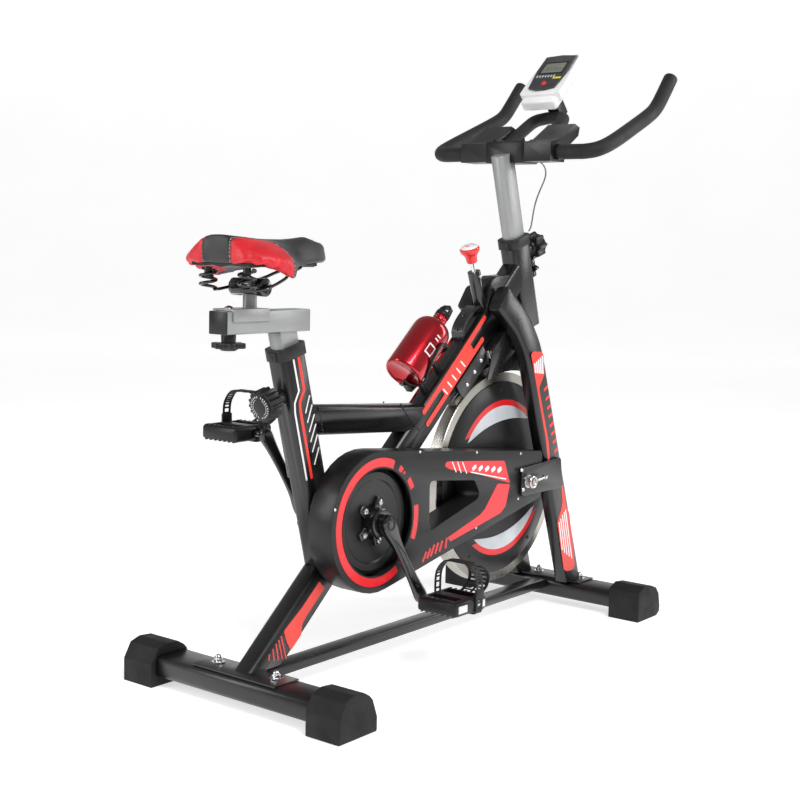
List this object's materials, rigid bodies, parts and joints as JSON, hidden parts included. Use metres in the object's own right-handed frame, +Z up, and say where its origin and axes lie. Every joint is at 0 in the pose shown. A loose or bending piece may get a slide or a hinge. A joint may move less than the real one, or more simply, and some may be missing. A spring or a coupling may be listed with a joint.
{
  "type": "indoor spin bike",
  "caption": "Upright exercise bike with a heavy flywheel behind fork legs, chain guard, adjustable saddle and handlebar, toe clips, push brake and bottle.",
  "frame": {"origin": "on the floor under the middle of the bike's bounding box", "axes": "+X forward to the handlebar, +Y to the rider's left, +Z up; the chain guard is on -Y"},
  "size_m": [1.1168, 0.48, 1.1334],
  "materials": {
    "black_paint": "satin black powder coat",
    "black_plastic": "fine textured black",
    "rubber": "matt black, with fine pitting",
    "silver_paint": "silver grey paint",
    "chrome": "polished",
    "steel": "turned steel",
    "red_plastic": "glossy red",
    "red_metal": "glossy red lacquer",
    "white_plastic": "satin white",
    "seat_cover": "soft black and red synthetic leather",
    "felt": "pressed felt"
  },
  "bodies": {
    "frame": {"rear_stabilizer": "black_paint", "front_stabilizer": "black_paint", "rear_foot_left": "rubber", "rear_foot_right": "rubber", "front_foot_left": "rubber", "front_foot_right": "rubber", "base_tube": "black_paint", "main_tube": "black_paint", "seat_tube": "black_paint", "middle_tube": "black_paint", "head_tube": "black_paint", "fork_leg_left": "black_paint", "fork_leg_right": "black_paint", "front_flange": "black_paint", "bottom_bracket_shell": "black_paint", "seat_collar": "black_plastic", "head_collar": "black_plastic", "axle_bracket_left": "black_paint", "axle_bracket_right": "black_paint", "chain_guard_cover": "black_plastic", "chain_guard_back": "black_plastic", "flywheel_axle": "steel", "drive_chain": "steel", "flywheel_shroud": "black_plastic", "brake_channel": "black_paint", "brake_sleeve": "black_paint", "bottle_cage": "black_plastic"},
    "flywheel_set": {"flywheel": "steel", "flywheel_cover_left": "black_plastic", "flywheel_cover_right": "black_plastic", "flywheel_sprocket": "steel"},
    "crank_set": {"crank_axle": "steel", "chainring": "black_paint", "crank_arm_left": "black_paint", "crank_arm_right": "black_paint"},
    "left_pedal": {"pedal_left": "black_plastic", "toe_cage_left": "black_plastic"},
    "right_pedal": {"pedal_right": "black_plastic", "toe_cage_right": "black_plastic"},
    "seat_mast": {"seat_post": "silver_paint"},
    "carriage": {"saddle_carriage": "silver_paint", "saddle_clamp": "black_paint"},
    "carriage_screw": {"slider_knob": "black_plastic"},
    "saddle": {"saddle_springs": "black_paint", "saddle_cushion": "seat_cover"},
    "seat_pin": {"seat_post_knob": "black_plastic"},
    "bar_mast": {"bar_post": "silver_paint", "handlebar": "black_paint", "handlebar_clamp": "black_plastic", "console_shell": "white_plastic", "console_face": "black_plastic", "sensor_cable": "black_plastic"},
    "bar_pin": {"bar_post_knob": "black_plastic"},
    "button": {"console_button": "red_plastic"},
    "pusher": {"brake_rod": "chrome"},
    "brake_dial": {"brake_knob": "red_plastic"},
    "brake_lever": {"brake_arm": "black_paint", "brake_pad": "felt"},
    "bottle_set": {"bottle": "red_metal", "bottle_cap": "black_plastic"}
  },
  "joints": [
    {"name": "flywheel_spin", "type": "hinge", "parent": "frame", "child": "flywheel_set", "pos_m": [0.2126, 0, 0.29], "axis": [0, 1, 0], "continuous": true},
    {"name": "crank_spin", "type": "hinge", "parent": "frame", "child": "crank_set", "pos_m": [-0.2434, 0, 0.274], "axis": [0, 1, 0], "continuous": true},
    {"name": "pedal_left_spin", "type": "hinge", "parent": "crank_set", "child": "left_pedal", "pos_m": [-0.33846, 0.165, 0.41494], "axis": [0, 1, 0], "continuous": true},
    {"name": "pedal_right_spin", "type": "hinge", "parent": "crank_set", "child": "right_pedal", "pos_m": [-0.14834, -0.165, 0.13306], "axis": [0, 1, 0], "continuous": true},
    {"name": "seat_height", "type": "slide", "parent": "frame", "child": "seat_mast", "axis": [-0.2588, 0, 0.9659], "range_m": [-0.01, 0.15]},
    {"name": "saddle_slide", "type": "slide", "parent": "seat_mast", "child": "carriage", "axis": [1, 0, 0], "range_m": [0, 0.06]},
    {"name": "slider_knob_turn", "type": "hinge", "parent": "carriage", "child": "carriage_screw", "pos_m": [-0.5264, 0, 0.6], "axis": [0, 0, 1], "continuous": true},
    {"name": "saddle_tilt", "type": "hinge", "parent": "carriage", "child": "saddle", "pos_m": [-0.4804, 0, 0.672], "axis": [0, 1, 0], "range_deg": [-8, 8]},
    {"name": "seat_pin_pull", "type": "slide", "parent": "frame", "child": "seat_pin", "axis": [-0.9659, 0, -0.2588], "range_m": [0, 0.01], "stiffness_N_per_m": 600, "springref_m": -0.006},
    {"name": "bar_height", "type": "slide", "parent": "frame", "child": "bar_mast", "axis": [-0.2924, 0, 0.9563], "range_m": [-0.06, 0.05], "deforming": ["sensor_cable"]},
    {"name": "bar_pin_pull", "type": "slide", "parent": "frame", "child": "bar_pin", "axis": [0.9563, 0, 0.2924], "range_m": [0, 0.01], "stiffness_N_per_m": 600, "springref_m": -0.006},
    {"name": "console_button_press", "type": "slide", "parent": "bar_mast", "child": "button", "axis": [0.682, 0, -0.7314], "range_m": [0, 0.0015], "stiffness_N_per_m": 300, "springref_m": -0.0005},
    {"name": "brake_push", "type": "slide", "parent": "frame", "child": "pusher", "axis": [0.3502, 0, -0.9367], "range_m": [0, 0.0013], "stiffness_N_per_m": 3000, "springref_m": -0.004},
    {"name": "brake_knob_turn", "type": "hinge", "parent": "pusher", "child": "brake_dial", "pos_m": [0.12009, 0, 0.7121], "axis": [-0.3502, 0, 0.9367], "continuous": true},
    {"name": "brake_arm_turn", "type": "hinge", "parent": "frame", "child": "brake_lever", "pos_m": [0.2356, 0, 0.545], "axis": [0, -1, 0], "range_deg": [0, 1.6]},
    {"name": "bottle_tip_out", "type": "hinge", "parent": "frame", "child": "bottle_set", "pos_m": [-0.11144, 0, 0.5386], "axis": [0, -1, 0], "range_deg": [0, 35]}
  ],
  "couplings": [
    {"joint": "crank_spin", "follows": "flywheel_spin", "ratio": 0.33333},
    {"joint": "brake_arm_turn", "follows": "brake_push", "rad_per_m": 20}
  ]
}
